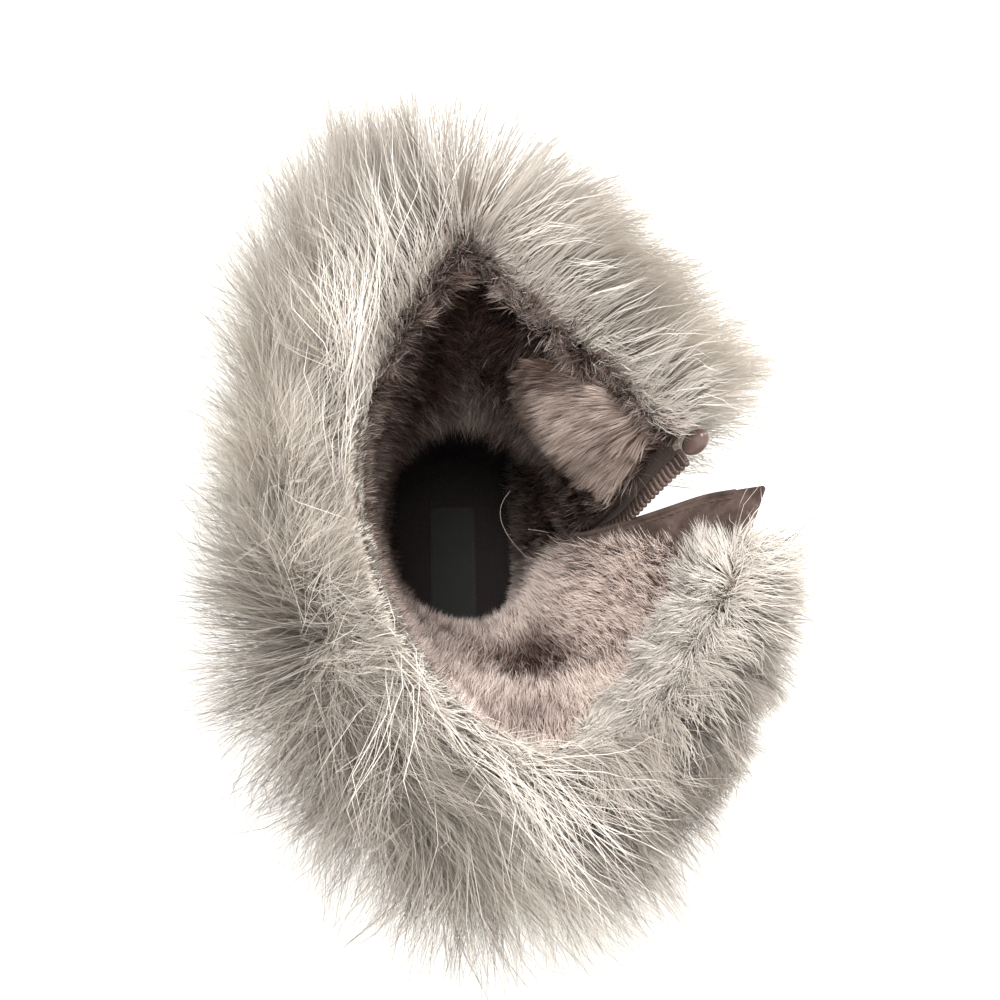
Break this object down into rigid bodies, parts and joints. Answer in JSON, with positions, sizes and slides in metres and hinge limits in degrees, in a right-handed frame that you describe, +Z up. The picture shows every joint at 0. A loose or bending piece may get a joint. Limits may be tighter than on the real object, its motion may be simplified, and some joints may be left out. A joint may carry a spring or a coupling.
{
  "type": "winter boot",
  "caption": "Left ankle-high winter boot with a deep fur cuff, pile lining and a half-open zip on its inner side, empty and standing on its sole.",
  "frame": {"origin": "centre of the heel's ground contact, on a lug of the heel, at the floor", "axes": "+Y to the toe, +X to the medial side of the foot where the zip is, +Z up"},
  "size_m": [0.2069, 0.3555, 0.2713],
  "materials": {
    "suede": "matte brown suede with a short nap",
    "sole_rubber": "matte moulded rubber",
    "footbed_felt": "dark matte felt",
    "long_pile": "cream long-pile fur, darker at its roots",
    "guard_suede": "matte suede",
    "zip_plastic": "brown plastic with a soft gloss",
    "slider_metal": "bronze-brown metal, satin"
  },
  "bodies": {
    "boot": {"outsole": "sole_rubber", "upper": "suede", "insole": "footbed_felt", "fur_cuff": "long_pile", "zip_row_front": "zip_plastic", "zip_row_rear": "zip_plastic", "zip_end_knob": "zip_plastic", "zip_guard": "guard_suede", "zip_slider": "slider_metal"},
    "pull_tab": {"zip_pull": "slider_metal"}
  },
  "joints": [
    {"name": "pull_swing", "type": "hinge", "parent": "boot", "child": "pull_tab", "pos_m": [0.05008, 0.02724, 0.12389], "axis": [-0.0224, -0.8508, -0.5251], "range_deg": [-8, 115]}
  ]
}
